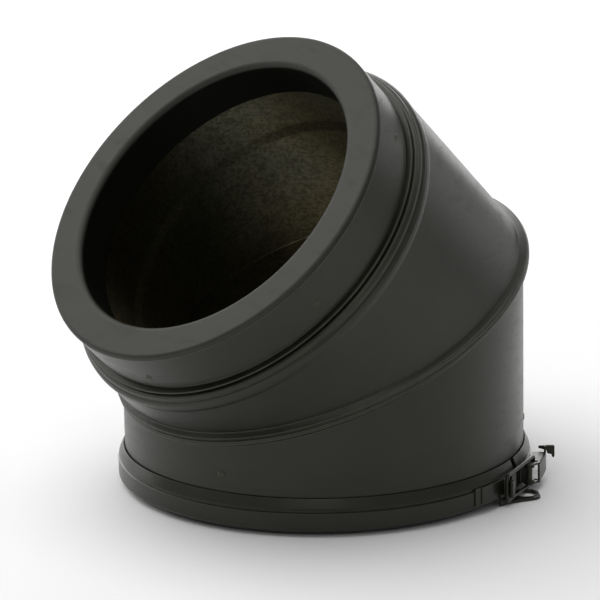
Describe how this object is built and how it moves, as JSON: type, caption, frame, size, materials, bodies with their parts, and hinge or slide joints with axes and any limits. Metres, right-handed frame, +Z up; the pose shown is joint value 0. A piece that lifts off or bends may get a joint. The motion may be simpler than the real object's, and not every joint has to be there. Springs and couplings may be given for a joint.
{
  "type": "flue elbow",
  "caption": "Insulated twin-wall flue elbow with a mitred black outer case, stainless liner, end collar and a toggle-latched locking band round its lower end.",
  "frame": {"origin": "centre of the lower spigot's tip, in the plane of the locking band's lower rim", "axes": "+Z up along the lower axis, outlet leaning towards -Y, X = 0 is the plane of the bend"},
  "size_m": [0.2114, 0.241, 0.223],
  "materials": {
    "black_coating": "satin",
    "black_wire": "satin",
    "galvanised_sheet": "satin",
    "stainless_liner": "satin",
    "pin_steel": "satin",
    "mineral_wool": "matte"
  },
  "bodies": {
    "elbow": {"outer_case_lower": "black_coating", "outer_case_upper": "black_coating", "top_end_ring": "black_coating", "bottom_socket_ring": "galvanised_sheet", "socket_sleeve": "galvanised_sheet", "liner_lower": "stainless_liner", "liner_upper": "stainless_liner", "insulation_lower": "mineral_wool", "insulation_upper": "mineral_wool", "collar_rivets": "black_coating", "base_rivets": "black_coating"},
    "band": {"locking_band": "black_coating", "keeper_hook": "black_coating", "safety_eye": "black_coating", "latch_base": "black_coating", "lever_pivot_pin": "pin_steel"},
    "lever": {"latch_lever": "black_coating"},
    "bail": {"latch_bail": "black_wire"}
  },
  "joints": [
    {"name": "band_turn", "type": "hinge", "parent": "elbow", "child": "band", "pos_m": [0, 0, 0.0096], "axis": [0, 0, 1], "continuous": true},
    {"name": "lever_open", "type": "hinge", "parent": "band", "child": "lever", "pos_m": [0.09397, 0.05098, 0.0093], "axis": [0, 0, -1], "range_deg": [0, 110]},
    {"name": "bail_swing", "type": "hinge", "parent": "lever", "child": "bail", "pos_m": [0.09073, 0.05711, 0.0093], "axis": [0, 0, -1], "range_deg": [-95, 0]}
  ],
  "couplings": [
    {"joint": "bail_swing", "follows": "lever_open", "ratio": -0.86}
  ]
}
